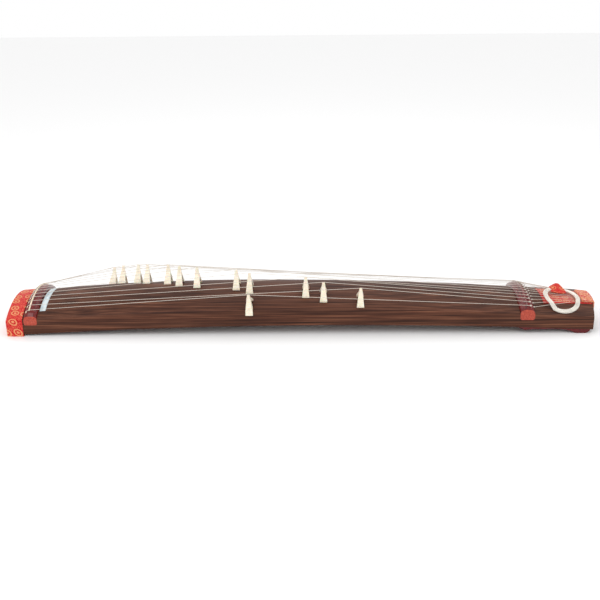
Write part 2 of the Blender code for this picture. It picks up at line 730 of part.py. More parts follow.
def string_route(n):
    """Whole route of string n, from its knot under the head round to its knot at the tail."""
    bear = string_radius + string_contact
    x = ryukaku_x + ryukaku_hole
    y = string_y(n, x)
    inside = board(x, y) - top_wall
    prof = ridge_profile(ryukaku_half, ryukaku_seat)
    route = [(x, y, inside - 9.0), (x, y, ridge_z(x, y, ryukaku_x, ryukaku_half, ridge_height, prof) + 0.6)]
    sx = ryukaku_x + ryukaku_seat
    for dx in (-strip_half, strip_half):
        yy = string_y(n, sx + dx)
        route.append((sx + dx, yy, board(ryukaku_x, yy) + ridge_height + 0.05 + strip_height + bear))
    bx, by, bz = bridge_top(n, 0.5)
    for dx in (-4.4, 4.4):
        route.append((bx + dx, by, bz))
    sx = unkaku_x + unkaku_seat
    for dx in (-strip_half, strip_half):
        yy = string_y(n, sx + dx)
        route.append((sx + dx, yy, board(unkaku_x, yy) + ridge_height + 0.05 + strip_height + bear))
    x = unkaku_x + unkaku_hole
    y = string_y(n, x)
    prof = ridge_profile(unkaku_half, unkaku_seat)
    route.append((x, y, ridge_z(x, y, unkaku_x, unkaku_half, ridge_height, prof) + 0.9))
    route.append((x, y, board(x, y) - top_wall - 3.0))
    hx = tail_hole[1] - 5.0
    yt = (n - 7) * string_pitch_end
    route.append((hx - 3.0, yt, under(hx) + back_thickness + 6.0))
    route.append((hx, yt, under(hx) - bear - 0.2))
    route.append((hx + 9.0, yt, under(hx + 9.0) - bear))
    e = end_x(yt)
    route.append((e - 6.0, yt, under(e) - bear))
    route.append((e + 1.3, yt, under(e) - 1.3))
    edge = board(e, yt)
    route.append((e + 1.3, yt, edge + cloth_high + 1.3))
    route.append((e - 5.0, yt, board(e - 5.0, yt) + cloth_high + bear))
    route.append((cover_from, yt, board(cover_from, yt) + cloth_high + bear))
    kx = unkaku_x + 18.4
    ky = string_y(n, kx)
    kz = ridge_z(kx, ky, unkaku_x, unkaku_half, ridge_height, prof) + knot_radius + 1.9
    x0, y0, z0 = route[-1]
    for t in (0.2, 0.45, 0.7):
        px, py, pz = x0 + (kx - x0) * t, y0 + (ky - y0) * t, z0 + (kz - z0) * t
        route.append((px, py, max(pz, board(px, py) + cloth_high + bear)))
    route.append((kx + 2.6, ky, kz + 0.05))
    route.append((kx + 1.3, ky, kz))
    route.append((kx - 1.2, ky, kz))
    route.append((kx - 2.2, ky, kz))
    return route


string_colour = (0.84, 0.80, 0.72)
for n in range(1, string_count + 1):
    route = string_route(n)
    head = route[0]
    start = [(head[0], head[1], head[2] + d) for d in (0.0, 0.9, 3.1, 4.2)]
    line = soften(route[:-4], 1.5)
    end = [np.array(q) for q in route[-4:]]
    path = start + line[1:] + end
    radii = [1.0, knot_radius, knot_radius, string_radius]
    radii += [string_radius] * (len(line) - 1) + [string_radius, knot_radius, knot_radius, 1.0]
    tube("string_%02d" % n, path, radii, string_colour, 0.4)


def over_strings(x, y):
    """Height the coil must ride above the board, smoothly down to the board beyond the strings."""
    t = min(max((x - 722.0) / (886.0 - 722.0), 0.0), 1.0)
    lift = 16.0 + (3.0 - 16.0) * t
    outer = 102.0 + (6 * string_pitch_end - 102.0) * t
    s = min(max((abs(y) - outer - 2.0) / 22.0, 0.0), 1.0)
    s = s * s * (3 - 2 * s)
    return (lift + 4.1) * (1 - s) + 1.1 * s


def coil_path():
    """One unbroken cord: out and in through the layers of an oval hank lying over the tail."""
    loops = coil_across * coil_layers
    total = loops * coil_points
    pts = []
    for k in range(total + 1):
        t = k / coil_points
        layer = min(int(t // coil_across), coil_layers - 1)
        part = t - layer * coil_across
        radial = part if layer % 2 == 0 else coil_across - part
        level = float(layer)
        for change in range(1, coil_layers):
            d = (t - change * coil_across) / 0.3
            if -1.0 < d < 1.0:
                level = change - 0.5 + 0.5 * math.sin(d * math.pi / 2)
        r = (radial - coil_across / 2) * coil_pitch
        a = 2 * math.pi * t + 2.2
        u = (coil_semi_x + r) * math.cos(a)
        v = (coil_semi_y + r) * math.sin(a)
        px = coil_x + u * math.cos(coil_turn) - v * math.sin(coil_turn)
        py = coil_y + u * math.sin(coil_turn) + v * math.cos(coil_turn)
        pts.append((px, py, board(px, py) + over_strings(px, py) + level * coil_pitch))
    for at, step in ((0, -1), (-1, 1)):
        a = np.array(pts[at], float)
        b = np.array(pts[at - step], float)
        d = (a - b) / np.linalg.norm(a - b)
        tip = tuple(a + d * 2.6 * string_radius)
        if at == 0:
            pts.insert(0, tip)
        else:
            pts.append(tip)
    return pts


def self_gap(pts, radius):
    """Least clear distance between turns of a cord."""
    fine = []
    for a, b in zip(pts[:-1], pts[1:]):
        for k in range(4):
            fine.append(np.array(a) + (np.array(b) - np.array(a)) * k / 4)
    fine = np.array(fine)
    best = 1e9
    skip = coil_points * 2
    for i in range(0, len(fine) - skip):
        d = np.linalg.norm(fine[i + skip:] - fine[i], axis=1).min()
        best = min(best, d)
    return best - 2 * radius


coil_line = coil_path()
tube("surplus_coil", coil_line, string_radius, string_colour, 0.45)
print("coil loops %d, least self gap %.3f mm, cord length %.2f m" % (
    coil_across * coil_layers, self_gap(coil_line, string_radius),
    sum(np.linalg.norm(np.array(b) - np.array(a)) for a, b in zip(coil_line[:-1], coil_line[1:])) / 1000))

# folded brocade tie over the far part of the coil
tie_x, tie_y, tie_base, tie_tall = 824.0, 19.0, 1.9, 17.5
rings = []
levels = [(0.0, 29.0, -27.0, 21.0), (0.35, 24.0, -20.0, 18.0), (0.75, 13.0, -9.0, 12.0), (1.0, 5.0, -2.5, 6.0)]
for frac, half, near, far in levels:
    ring = []
    for u, v in ((-1, near), (-0.33, near - 1.5 * (1 - frac)), (0.33, near - 1.5 * (1 - frac)), (1, near),
                 (1, 0.3 * near + 0.4 * far), (0.86, far), (0.3, far + 1.0), (-0.3, far + 1.0), (-0.86, far),
                 (-1, 0.3 * near + 0.4 * far)):
        px, py = tie_x + u * half, tie_y + v
        ride = over_strings(px, py) - 4.1 + tie_base
        ring.append((px, py, board(px, py) + ride + (tie_tall + 5.0) * frac))
    rings.append(ring)
tie = loft("coil_tie", rings, (0.64, 0.03, 0.03), 0.7)
tunnel = []
for a in np.linspace(0.15, 3.1, 25):
    u, v = coil_semi_x * math.cos(a), coil_semi_y * math.sin(a)
    px = coil_x + u * math.cos(coil_turn) - v * math.sin(coil_turn)
    py = coil_y + u * math.sin(coil_turn) + v * math.cos(coil_turn)
    nu, nv = math.cos(a) / coil_semi_x, math.sin(a) / coil_semi_y
    nx = nu * math.cos(coil_turn) - nv * math.sin(coil_turn)
    ny = nu * math.sin(coil_turn) + nv * math.cos(coil_turn)
    s = 1.0 / math.hypot(nx, ny)
    nx, ny = nx * s, ny * s
    half = coil_across / 2 * coil_pitch + string_radius + 0.6
    ring = []
    for d, up in ((-half, -1.15), (half, -1.15), (half, 2 * coil_pitch + 1.25), (-half, 2 * coil_pitch + 1.25)):
        qx, qy = px + nx * d, py + ny * d
        ring.append((qx, qy, board(qx, qy) + over_strings(qx, qy) + up))
    tunnel.append(ring)
combine(tie, loft_tool("coil_tunnel", tunnel), "DIFFERENCE")
keep(tie)

# set the whole object on the floor, centred
low = np.array([1e9] * 3)
high = -low
for ob in parts:
    co = np.array([v.co[:] for v in ob.data.vertices])
    low, high = np.minimum(low, co.min(0)), np.maximum(high, co.max(0))
shift = (-(low[0] + high[0]) / 2, -(low[1] + high[1]) / 2, -low[2])
for ob in parts:
    for v in ob.data.vertices:
        v.co = (v.co[0] + shift[0], v.co[1] + shift[1], v.co[2] + shift[2])
print("size m", [round(float(a), 5) for a in high - low], "shift", [round(float(a), 6) for a in shift])
print("pieces", len(parts), "triangles", sum(len(p.vertices) - 2 for o in parts for p in o.data.polygons))
for ob in parts:
    bm = bmesh.new()
    bm.from_mesh(ob.data)
    print("%-18s tris %5d volume cm3 %8.3f open edges %d" % (
        ob.name, sum(len(f.verts) - 2 for f in bm.faces), bm.calc_volume() * 1e6,
        sum(1 for e in bm.edges if len(e.link_faces) != 2)))
    bm.free()
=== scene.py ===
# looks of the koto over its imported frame
import math

import bmesh
import bpy
from mathutils import Matrix, Vector
from mathutils.bvhtree import BVHTree


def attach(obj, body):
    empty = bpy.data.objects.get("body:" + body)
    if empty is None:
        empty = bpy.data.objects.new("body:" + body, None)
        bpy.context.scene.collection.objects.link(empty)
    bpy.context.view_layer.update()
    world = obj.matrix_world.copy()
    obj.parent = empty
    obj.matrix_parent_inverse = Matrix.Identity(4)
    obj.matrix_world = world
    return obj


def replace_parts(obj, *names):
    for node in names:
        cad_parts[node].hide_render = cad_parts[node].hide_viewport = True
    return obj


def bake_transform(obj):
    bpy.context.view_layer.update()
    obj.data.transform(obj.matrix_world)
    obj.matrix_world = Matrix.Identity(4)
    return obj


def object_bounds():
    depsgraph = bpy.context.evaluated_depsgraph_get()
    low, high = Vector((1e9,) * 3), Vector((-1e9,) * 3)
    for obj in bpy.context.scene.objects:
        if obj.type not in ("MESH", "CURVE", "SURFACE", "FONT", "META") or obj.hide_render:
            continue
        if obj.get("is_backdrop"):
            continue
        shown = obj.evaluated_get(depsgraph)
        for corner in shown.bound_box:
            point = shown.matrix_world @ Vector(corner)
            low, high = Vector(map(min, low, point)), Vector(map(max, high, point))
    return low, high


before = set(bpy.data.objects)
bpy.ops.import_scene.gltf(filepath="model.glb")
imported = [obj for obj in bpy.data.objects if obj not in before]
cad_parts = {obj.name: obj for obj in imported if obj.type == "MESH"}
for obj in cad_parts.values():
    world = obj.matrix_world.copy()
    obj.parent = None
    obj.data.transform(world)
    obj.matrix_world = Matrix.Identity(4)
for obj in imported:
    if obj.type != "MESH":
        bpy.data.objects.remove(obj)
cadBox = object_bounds()
print("frame loaded")

# forms are worked out in millimetres from the middle of the body, and set into the frame by toFrame
scene = bpy.context.scene
millimetre = 0.001
shift = Vector((-0.01105, -0.00041, 0.0))

body = {"halfLength": 910.0, "headWide": 127.0, "tailWide": 120.0, "headSole": 3.0, "tailSole": 12.5,
        "crownUnder": 23.9, "tailBow": 14.0,
        "sideHeight": [(-910, 46.0), (-740, 49.0), (-600, 51.8), (-450, 53.0), (-250, 53.1), (0, 50.2),
                       (190, 48.8), (373, 47.2), (588, 44.5), (750, 41.8), (910, 39.0)],
        "archRise": [(-910, 34.5), (-740, 37.5), (-600, 39.0), (-450, 39.8), (-250, 40.2), (0, 39.3),
                     (190, 36.8), (373, 32.8), (588, 26.5), (750, 23.0), (910, 21.0)]}


def toFrame(q):
    return Vector(q) * millimetre + shift


# smooth curve through a table of places along the body, run on straight past its ends
def along(table, x):
    xs, ys = [a for a, b in table], [b for a, b in table]
    n = len(xs)
    slope = [(ys[1] - ys[0]) / (xs[1] - xs[0])]
    slope += [(ys[i + 1] - ys[i - 1]) / (xs[i + 1] - xs[i - 1]) for i in range(1, n - 1)]
    slope += [(ys[-1] - ys[-2]) / (xs[-1] - xs[-2])]
    if x <= xs[0]:
        return ys[0] + slope[0] * (x - xs[0])
    if x >= xs[-1]:
        return ys[-1] + slope[-1] * (x - xs[-1])
    i = max(j for j in range(n - 1) if xs[j] <= x)
    h = xs[i + 1] - xs[i]
    t = (x - xs[i]) / h
    return ((2 * t**3 - 3 * t * t + 1) * ys[i] + (t**3 - 2 * t * t + t) * h * slope[i]
            + (3 * t * t - 2 * t**3) * ys[i + 1] + (t**3 - t * t) * h * slope[i + 1])


def fromHead(head, tail, x):
    return head + (tail - head) * (x + body["halfLength"]) / (2 * body["halfLength"])


def under(x):
    sole = fromHead(body["headSole"], body["tailSole"], x)
    return sole + body["crownUnder"] * (1.0 - (x / body["halfLength"]) ** 2)


def archRadius(x):
    wide, rise = fromHead(body["headWide"], body["tailWide"], x), along(body["archRise"], x)
    return (wide * wide + rise * rise) / (2 * rise)


# top of the soundboard
def board(x, y):
    r = archRadius(x)
    crown = under(x) + along(body["sideHeight"], x) + along(body["archRise"], x)
    return crown - r + math.sqrt(max(r * r - y * y, 0.0))


def tailEnd(y):
    return body["halfLength"] + body["tailBow"] * (1.0 - (y / body["tailWide"]) ** 2)


# short way to write the nodes of one finish
class Finish:
    def __init__(self, name, rough, specular=0.5):
        self.mat = bpy.data.materials.new(name)
        self.mat.use_nodes = True
        self.nodes = self.mat.node_tree.nodes
        self.links = self.mat.node_tree.links
        self.shader = self.nodes["Principled BSDF"]
        self.set("Roughness", rough)
        self.set("Specular IOR Level", specular)

    def set(self, socket, value):
        self.shader.inputs[socket].default_value = value

    def node(self, kind, inputs=None, **props):
        made = self.nodes.new(kind)
        for key, value in props.items():
            setattr(made, key, value)
        for key, value in (inputs or {}).items():
            if isinstance(value, bpy.types.NodeSocket):
                self.links.new(value, made.inputs[key])
            else:
                made.inputs[key].default_value = value
        return made

    def place(self):
        return self.node("ShaderNodeTexCoord").outputs["Object"]

    def noise(self, scale, detail=2.0, **more):
        mapped = self.node("ShaderNodeMapping", {"Vector": self.place(), "Scale": scale})
        inputs = {"Vector": mapped.outputs["Vector"], "Scale": 1.0, "Detail": detail, **more}
        return self.node("ShaderNodeTexNoise", inputs).outputs["Fac"]

    def ramp(self, factor, stops):
        made = self.node("ShaderNodeValToRGB", {"Fac": factor})
        line = made.color_ramp
        while len(line.elements) < len(stops):
            line.elements.new(0.5)
        for element, (place, colour) in zip(line.elements, stops):
            element.position = place
            element.color = (*colour, 1.0)
        return made.outputs["Color"]

    def mix(self, factor, a, b, mode="MIX"):
        made = self.node("ShaderNodeMix", data_type="RGBA", blend_type=mode)
        for key, value in (("Factor", factor), ("A", a), ("B", b)):
            sockets = [s for s in made.inputs if s.name == key and s.enabled]
            if isinstance(value, bpy.types.NodeSocket):
                self.links.new(value, sockets[0])
            else:
                sockets[0].default_value = value if key == "Factor" else (*value, 1.0)
        return [s for s in made.outputs if s.enabled][0]

    def math(self, operation, a, b=0.0):
        return self.node("ShaderNodeMath", {0: a, 1: b}, operation=operation).outputs[0]

    def bump(self, height, strength, distance):
        made = self.node("ShaderNodeBump", {"Height": height, "Strength": strength, "Distance": distance})
        self.links.new(made.outputs["Normal"], self.shader.inputs["Normal"])

    def colour(self, socket):
        self.links.new(socket, self.shader.inputs["Base Color"])


# scorched paulownia: straight grain, dark patches and a curl across the side
scorched = {"grain": [(0.33, (0.036, 0.011, 0.006)), (0.5, (0.112, 0.041, 0.023)),
                      (0.68, (0.240, 0.104, 0.060))],
            "grainScale": (3.5, 330, 210),
            "patch": [(0.35, (0.42, 0.36, 0.33)), (0.65, (1.0, 0.94, 0.88))],
            "patchScale": (1.6, 34, 60), "patchAmount": 0.85,
            "curl": [(0.1, (0.62, 0.52, 0.46)), (0.8, (1.0, 1.0, 1.0))],
            "curlScale": (1.3, 9, 30), "curlAmount": 0.55,
            "curlWave": {"Scale": 1.5, "Distortion": 7.0, "Detail": 3.0},
            "bump": (0.25, 0.0006), "rough": 0.5, "specular": 0.18}


def scorchedPaulownia():
    g = Finish("scorchedPaulownia", scorched["rough"], scorched["specular"])
    fine = g.noise(scorched["grainScale"], 6.0, Roughness=0.6)
    broad = g.noise(scorched["patchScale"], 3.0, Distortion=0.7)
    mapped = g.node("ShaderNodeMapping", {"Vector": g.place(), "Scale": scorched["curlScale"]})
    wave = g.node("ShaderNodeTexWave", {"Vector": mapped.outputs["Vector"], **scorched["curlWave"]},
                  bands_direction="Z")
    grain = g.ramp(fine, scorched["grain"])
    patched = g.mix(scorched["patchAmount"], grain, g.ramp(broad, scorched["patch"]), "MULTIPLY")
    curl = g.ramp(wave.outputs["Fac"], scorched["curl"])
    g.colour(g.mix(scorched["curlAmount"], patched, curl, "MULTIPLY"))
    g.bump(fine, *scorched["bump"])
    return g.mat


# any plain grained or fibred stuff, from its dark colour to its light one
def grained(name, dark, light, rough, scale, detail=2.0):
    g = Finish(name, rough)
    g.colour(g.ramp(g.noise(scale, detail), [(0.3, dark), (0.7, light)]))
    return g


def plainPaulownia():
    return grained("plainPaulownia", (0.36, 0.22, 0.12), (0.56, 0.40, 0.25), 0.7, (30, 30, 300), 4.0).mat


def cream(name, dark, light, rough):
    g = grained(name, dark, light, rough, (60, 60, 400), 3.0)
    g.set("Subsurface Weight", 0.12)
    g.set("Subsurface Scale", 0.002)
    return g.mat


def silkString(name, dark, light):
    return grained(name, dark, light, 0.4, (700, 700, 700)).mat


# polished rosewood, dark on its slopes, with painted light on the end faces further out than endFrom: they
# are painted a lighter orange-red, as if lit
rosewoodLook = {"scale": (260, 16, 160), "specular": 0.25,
                # the end colours are painted light, a lit orange-red for the end faces
                "end": [(0.3, (0.29, 0.028, 0.014)), (0.7, (0.50, 0.075, 0.038))]}


def rosewood(name, dark, light, rough, endFrom=0.0, gloss=0.3):
    g = Finish(name, rough, rosewoodLook["specular"])
    g.set("Coat Weight", gloss)
    fine = g.noise(rosewoodLook["scale"], 5.0, Distortion=0.4)
    face = g.ramp(fine, [(0.3, dark), (0.7, light)])
    if endFrom:
        # painted light: the end faces further out than endFrom take the lighter orange-red
        across = g.node("ShaderNodeSeparateXYZ", {"Vector": g.place()}).outputs["Y"]
        litEndFace = g.math("GREATER_THAN", g.math("ABSOLUTE", across), endFrom)
        face = g.mix(litEndFace, face, g.ramp(fine, rosewoodLook["end"]))
    g.colour(face)
    return g.mat


# red silk with round gold flowers among small leaves; the pattern runs on over the edges of the form
silk = {"gold": (0.70, 0.30, 0.13), "red": (0.50, 0.003, 0.012), "leaf": (0.66, 0.10, 0.06), "flower": 0.40,
        "petalRings": 26.0, "petalWidth": 0.25, "scatter": 0.35, "leafSize": 5.0, "leafCover": 0.52,
        "rough": 0.7, "specular": 0.15, "sheen": 0.1, "slant": 0.35, "weave": (1500, 1500, 1500),
        "bump": (0.35, 0.0003)}


def brocade(name, cell, offset=(0.0, 0.0), flower=silk["flower"], red=silk["red"], leaf=silk["leaf"]):
    g = Finish(name, silk["rough"], silk["specular"])
    g.set("Sheen Weight", silk["sheen"])
    split = g.node("ShaderNodeSeparateXYZ", {"Vector": g.place()})
    x, y, z = split.outputs["X"], split.outputs["Y"], split.outputs["Z"]
    across = g.math("ADD", g.math("ADD", x, g.math("MULTIPLY", z, silk["slant"])), offset[0])
    down = g.math("ADD", g.math("ADD", y, z), offset[1])
    flat = g.node("ShaderNodeCombineXYZ", {"X": across, "Y": down}).outputs[0]
    cells = g.node("ShaderNodeTexVoronoi", {"Vector": flat, "Scale": cell, "Randomness": silk["scatter"]},
                   voronoi_dimensions="2D")
    away = cells.outputs["Distance"]
    wave = g.math("SINE", g.math("MULTIPLY", away, silk["petalRings"]))
    petal = g.math("GREATER_THAN", wave, silk["petalWidth"])
    gold = g.math("MULTIPLY", g.math("LESS_THAN", away, flower), petal)
    leaves = g.node("ShaderNodeTexNoise", {"Vector": flat, "Scale": cell * silk["leafSize"], "Detail": 1.0,
                                           "Distortion": 3.0})
    ground = g.mix(g.math("GREATER_THAN", leaves.outputs["Fac"], silk["leafCover"]), red, leaf)
    g.colour(g.mix(gold, ground, silk["gold"]))
    g.bump(g.noise(silk["weave"]), *silk["bump"])
    return g.mat


# pale tape with a cloudy sheen and small grey marks
tape = {"cloud": [(0.35, (0.33, 0.43, 0.47)), (0.65, (0.68, 0.76, 0.79))], "mark": (0.22, 0.27, 0.30),
        "markSize": 0.16, "markScale": (240, 130, 0), "cloudScale": (60, 25, 0), "rough": 0.22}


def pearlTape():
    g = Finish("pearlTape", tape["rough"])
    mapped = g.node("ShaderNodeMapping", {"Vector": g.place(), "Scale": tape["markScale"]})
    cells = g.node("ShaderNodeTexVoronoi", {"Vector": mapped.outputs["Vector"], "Scale": 1.0})
    isMark = g.math("LESS_THAN", cells.outputs["Distance"], tape["markSize"])
    g.colour(g.mix(isMark, g.ramp(g.noise(tape["cloudScale"], 3.0), tape["cloud"]), tape["mark"]))
    return g.mat


ridgeDark, ridgeLight = (0.060, 0.002, 0.003), (0.190, 0.008, 0.006)
wood, plain, pearl = scorchedPaulownia(), plainPaulownia(), pearlTape()
# the head and tail ridges carry the painted light on their end faces
headRed = rosewood("rosewood", ridgeDark, ridgeLight, 0.22, 0.1262)
tailRed = rosewood("rosewoodTail", ridgeDark, ridgeLight, 0.22, 0.1192)
maroon = rosewood("maroonFoot", (0.045, 0.002, 0.003), (0.150, 0.007, 0.008), 0.4)
stripRed = rosewood("rosewoodStrip", (0.09, 0.006, 0.006), (0.24, 0.03, 0.025), 0.15, gloss=0.8)
bridgeCream = cream("bridgeCream", (0.80, 0.70, 0.52), (0.93, 0.87, 0.74), 0.32)
stripCream = cream("stripCream", (0.70, 0.58, 0.40), (0.86, 0.78, 0.62), 0.4)
hoodCloth = brocade("hoodBrocade", 27.0, (0.213, 0.118))
tailCloth = brocade("tailBrocade", 34.0)
coverCloth = brocade("coverBrocade", 30.0, (0.01, 0.02), 0.42, (0.52, 0.012, 0.02), (0.76, 0.44, 0.29))
tieCloth = brocade("tieBrocade", 30.0, (0.012, 0.0), 0.3)
stringSilk = silkString("string", (0.52, 0.45, 0.38), (0.78, 0.72, 0.64))
hankSilk = silkString("spareString", (0.84, 0.79, 0.70), (0.97, 0.94, 0.88))

finishes = {"soundboard_shell": wood, "back_board": wood, "head_block": headRed, "mouth_plate": headRed,
            "ryukaku": headRed, "unkaku": tailRed, "tail_block": plain, "brace_head": plain,
            "brace_middle": plain, "brace_tail": plain, "mouth_tongue": stripCream,
            "ryukaku_strip": stripCream, "unkaku_strip": stripRed, "head_hood": hoodCloth,
            "tail_brocade": tailCloth, "coil_tie": tailCloth, "tail_cover": coverCloth,
            "number_tape": pearl, "tail_foot_near": maroon, "tail_foot_far": maroon}
for node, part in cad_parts.items():
    part.data.materials.clear()
    part.data.materials.append(finishes.get(node, bridgeCream if node.startswith("ji_") else stringSilk))
print("materials set")


def pieceFrom(name, bm, look):
    bmesh.ops.recalc_face_normals(bm, faces=bm.faces)
    mesh = bpy.data.meshes.new(name)
    bm.to_mesh(mesh)
    bm.free()
    for face in mesh.polygons:
        face.use_smooth = True
    mesh.materials.append(look)
    made = bpy.data.objects.new(name, mesh)
    scene.collection.objects.link(made)
    return made


# circle laid into bm by matrix, first point on its X axis; gives back its points and edges
def circleInto(bm, sides, radius, matrix, cap=False):
    turned = matrix @ Matrix.Rotation(-math.pi / 2, 4, "Z")
    made = bmesh.ops.create_circle(bm, cap_ends=cap, segments=sides, radius=radius, matrix=turned)
    points = made["verts"]
    return points, list({edge for point in points for edge in point.link_edges})


# ring of round cord about an axis, its radius and the radius of the cord in millimetres
def ringInto(bm, centre, axis, radius, cord, steps=20, sides=8):
    stand = Matrix.Translation(centre) @ axis.to_track_quat("Z", "Y").to_matrix().to_4x4()
    section = Matrix.Translation((radius * millimetre, 0, 0)) @ Matrix.Rotation(math.pi / 2, 4, "X")
    points, edges = circleInto(bm, sides, cord * millimetre, stand @ section)
    bmesh.ops.spin(bm, geom=points + edges, cent=centre, axis=stand.to_3x3() @ Vector((0, 0, 1)),
                   dvec=(0, 0, 0), angle=2 * math.pi, steps=steps, use_merge=True)


# skin over circles that follow one another
def skinOver(bm, loops):
    for near, far in zip(loops[:-1], loops[1:]):
        bmesh.ops.bridge_loops(bm, edges=near + far)


# round cord through points in millimetres
def cordInto(bm, points, radius, sides):
    pts = [toFrame(q) for q in points]
    across = Vector((0, 1, 0))
    loops = []
    last = len(pts) - 1
    for i, centre in enumerate(pts):
        ahead = (pts[min(i + 1, last)] - pts[max(i - 1, 0)]).normalized()
        across = (across - ahead * across.dot(ahead)).normalized()
        turn = Matrix((across, ahead.cross(across), ahead)).transposed().to_4x4()
        stand = Matrix.Translation(centre) @ turn
        loops.append(circleInto(bm, sides, radius * millimetre, stand, cap=i in (0, last))[1])
    skinOver(bm, loops)


# fixed bridges at the head and the tail: middle, half width, seat of the strip and line of the holes
headRidge = {"x": -832.5, "half": 20.5, "seat": -3.5, "hole": -13.5}
tailRidge = {"x": 705.0, "half": 22.5, "seat": -2.0, "hole": 11.0}
ridgeForm = {"height": 17.0, "sunk": 2.5, "land": 2.7, "stripHalf": 2.2, "stripTop": 2.65,
             "slope": [(0.52, 0.92), (0.78, 0.75), (0.93, 0.52), (1.0, 0.24)]}

strings = {"count": 13, "middle": 7, "headPitch": 18.9, "tailPitch": 17.9, "endPitch": 6.2,
           "radius": 0.65, "contact": 0.12, "knot": 2.0, "sides": 8, "step": 14.0, "bend": 1.5,
           "blendRest": 20.0}


def ridgeTop(ridge, x, y):
    a, b = (ridge["seat"] + d for d in (-ridgeForm["land"], ridgeForm["land"]))
    slope = ridgeForm["slope"]
    land = [(a / ridge["half"], 1.0), (b / ridge["half"], 1.0)]
    profile = [(-u, v) for u, v in reversed(slope)] + land + slope
    u = (x - ridge["x"]) / ridge["half"]
    foot = board(ridge["x"], y) - ridgeForm["sunk"]
    tall = ridgeForm["height"] + ridgeForm["sunk"]
    for (u0, v0), (u1, v1) in zip(profile[:-1], profile[1:]):
        if u0 <= u <= u1:
            return foot + tall * (v0 + (v1 - v0) * (u - u0) / (u1 - u0))
    return foot


# line of string n across the board, counted from the near side
def rowY(n, x):
    head, tail = headRidge["x"] + headRidge["seat"], tailRidge["x"] + tailRidge["seat"]
    t = (x - head) / (tail - head)
    pitch = strings["headPitch"] + (strings["tailPitch"] - strings["headPitch"]) * t
    return (n - strings["middle"]) * pitch


def surfaceOf(node):
    bm = bmesh.new()
    bm.from_mesh(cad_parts[node].data)
    tree = BVHTree.FromBMesh(bm)
    bm.free()
    return tree


def dropOn(tree, x, y, above=0.4):
    hit, normal, _, _ = tree.ray_cast(Vector((x, y, above)), Vector((0, 0, -1)))
    return hit.z, normal


# cream bushings round the string holes of the head bridge
bushing = {"radius": 2.6, "cord": 1.1, "lift": 1.3}
tree = surfaceOf("ryukaku")
for n in range(1, strings["count"] + 1):
    x = headRidge["x"] + headRidge["hole"]
    spot = toFrame((x, rowY(n, x), 0.0))
    height, normal = dropOn(tree, spot.x - bushing["radius"] * millimetre, spot.y)
    spot.z = height + bushing["lift"] * millimetre
    bm = bmesh.new()
    ringInto(bm, spot, normal, bushing["radius"], bushing["cord"])
    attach(pieceFrom("bushing_%02d" % n, bm, stripCream), "koto_body")
print("bushings made")

# wraps that tie each string off on the tail bridge
wrap = {"radius": 1.7, "cord": 0.62, "turns": 4, "pitch": 1.4, "start": 7.5, "beside": 4.0,
        "lift": 2.6, "lean": (1, 0, -0.45), "steps": 14, "sides": 6}
tree = surfaceOf("unkaku")
for n in range(1, strings["count"] + 1):
    bm = bmesh.new()
    for k in range(wrap["turns"]):
        x = tailRidge["x"] + wrap["start"] + k * wrap["pitch"]
        spot = toFrame((x, rowY(n, x), 0.0))
        spot.z = dropOn(tree, spot.x, spot.y + wrap["beside"] * millimetre)[0] + wrap["lift"] * millimetre
        ringInto(bm, spot, Vector(wrap["lean"]).normalized(), wrap["radius"], wrap["cord"],
                 wrap["steps"], wrap["sides"])
    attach(pieceFrom("stringWrap_%02d" % n, bm, stringSilk), "koto_body")
print("wraps made")

# where the movable bridges stand, string 1 to string 13, and the notches on their tops
bridges = {"x": [-152.3, 190.6, 76.9, 21.9, -154.2, -196.7, -322.8, -381.9, -421.3, -492.5, -526.3,
                 -580.6, -616.2],
           "tall": 57.7, "notchLift": 0.5, "footGap": 0.3, "notchHalf": 4.4}

# the strings' way through the board at the head, and round the tail end
stringWay = {"headKnotDeep": 18.0, "headHoleLift": 0.6, "tailHoleLift": 0.9, "tailHoleDeep": 12.0,
             "soundHoleX": 855.0, "holeLead": 3.0, "holeRise": 13.0, "holeGap": 0.2, "underRun": 9.0,
             "cornerIn": 6.0, "cornerOut": 1.3, "topIn": 5.0, "coverX": 888.0, "clothTop": 1.35,
             "knotX": 18.4, "knotLift": 1.9, "toKnot": (0.2, 0.45, 0.7),
             "inKnot": [(2.6, 0.05), (1.3, 0.0), (-1.2, 0.0), (-2.2, 0.0)]}
bearing = strings["radius"] + strings["contact"]


# the two points where string n crosses the strip of a fixed bridge
def overStrip(n, ridge):
    xs = [ridge["x"] + ridge["seat"] + d for d in (-ridgeForm["stripHalf"], ridgeForm["stripHalf"])]
    top = ridgeForm["height"] + ridgeForm["stripTop"] + bearing
    return [(x, rowY(n, x), board(ridge["x"], rowY(n, x)) + top) for x in xs]


def notchOf(n):
    x = bridges["x"][n - 1]
    r = archRadius(x)
    angle = math.asin(rowY(n, x) / r)
    tall = r + bridges["tall"] + bridges["notchLift"] + bridges["footGap"]
    return x, tall * math.sin(angle), tall * math.cos(angle) + board(x, 0.0) - r


# string n from its knot under the head to its movable bridge
def frontWay(n):
    x = headRidge["x"] + headRidge["hole"]
    y = rowY(n, x)
    bx, by, bz = notchOf(n)
    return [(x, y, board(x, y) - stringWay["headKnotDeep"]),
            (x, y, ridgeTop(headRidge, x, y) + stringWay["headHoleLift"]),
            *overStrip(n, headRidge), (bx - bridges["notchHalf"], by, bz), (bx, by, bz)]


